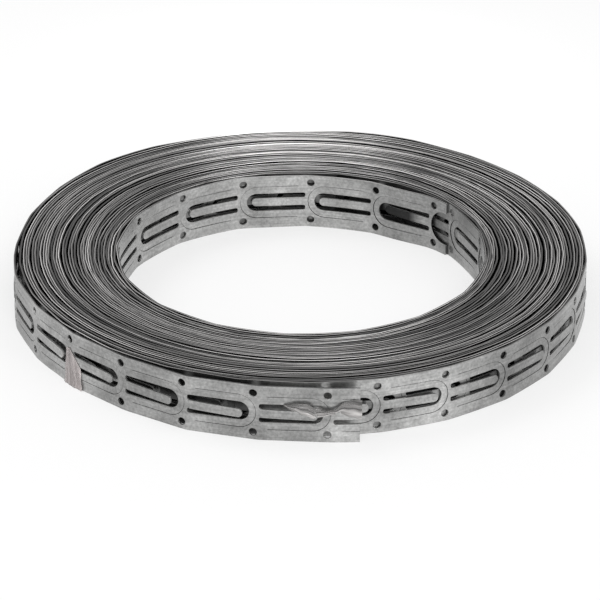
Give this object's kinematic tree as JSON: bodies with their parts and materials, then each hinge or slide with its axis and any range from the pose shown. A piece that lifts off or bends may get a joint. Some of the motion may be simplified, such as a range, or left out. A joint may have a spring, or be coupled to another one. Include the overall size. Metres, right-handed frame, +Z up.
{
  "type": "perforated steel strip coil",
  "caption": "Flat-lying coil of perforated galvanised steel strip with an open bore and a taped loose end.",
  "frame": {"origin": "on the coil's axis, at the underside of the coil", "axes": "+Z up along the coil's axis; the loose outer end of the strip faces -Y"},
  "size_m": [0.1939, 0.1965, 0.02],
  "materials": {
    "galvanised_steel": "plain galvanised, softly shining, with dark smudges",
    "clear_tape": "clear, slightly milky film"
  },
  "bodies": {
    "root": {"strip_coil": "galvanised_steel", "end_tape": "clear_tape", "edge_tape": "clear_tape"}
  },
  "joints": []
}
